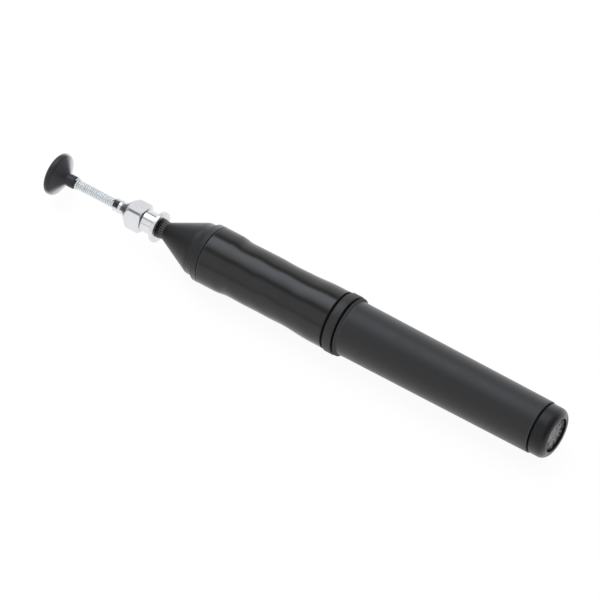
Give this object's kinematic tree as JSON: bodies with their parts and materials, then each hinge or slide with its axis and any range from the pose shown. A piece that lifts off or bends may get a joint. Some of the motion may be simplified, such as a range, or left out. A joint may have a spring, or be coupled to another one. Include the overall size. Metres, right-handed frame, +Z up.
{
  "type": "vacuum pick-up pen",
  "caption": "Hand vacuum pick-up pen: rubber squeeze sleeve and matt barrel, with a pull-off luer tip that carries a coil-guarded tube and a rubber suction cup.",
  "frame": {"origin": "on the table under the middle of the pen's length, with the pen lying on its side", "axes": "+X along the pen from the suction cup to the end cap, +Z up from the table, +Y to complete a right-handed frame"},
  "size_m": [0.141, 0.015, 0.0151],
  "materials": {
    "cup_rubber": "black conductive rubber, matt with a soft sheen",
    "tube_steel": "drawn stainless tube",
    "coil_steel": "bright spring wire",
    "hub_nickel": "nickel plate over turned and milled metal",
    "nose_plastic": "moulded black plastic, satin",
    "sleeve_rubber": "glossy black rubber, slightly wavy",
    "core_plastic": "black plastic tube, out of sight",
    "ring_plastic": "moulded charcoal plastic, satin",
    "barrel_plastic": "moulded charcoal plastic, fine satin grain, no print",
    "cap_plastic": "moulded black plastic, satin",
    "disc_grey": "grey disc with a fine speckled texture"
  },
  "bodies": {
    "pen": {"nose_cone": "nose_plastic", "squeeze_sleeve": "sleeve_rubber", "core_tube": "core_plastic", "joint_coupling": "ring_plastic", "rear_barrel": "barrel_plastic", "end_cap": "cap_plastic", "end_disc": "disc_grey"},
    "tip": {"luer_hub": "hub_nickel", "needle_tube": "tube_steel", "guard_spring": "coil_steel"},
    "cup": {"suction_cup": "cup_rubber"}
  },
  "joints": [
    {"name": "tip_pull", "type": "slide", "parent": "pen", "child": "tip", "axis": [-1, 0, -0.0067], "range_m": [0, 0.01]},
    {"name": "cup_pull", "type": "slide", "parent": "tip", "child": "cup", "axis": [-1, 0, -0.0067], "range_m": [0, 0.006]}
  ]
}
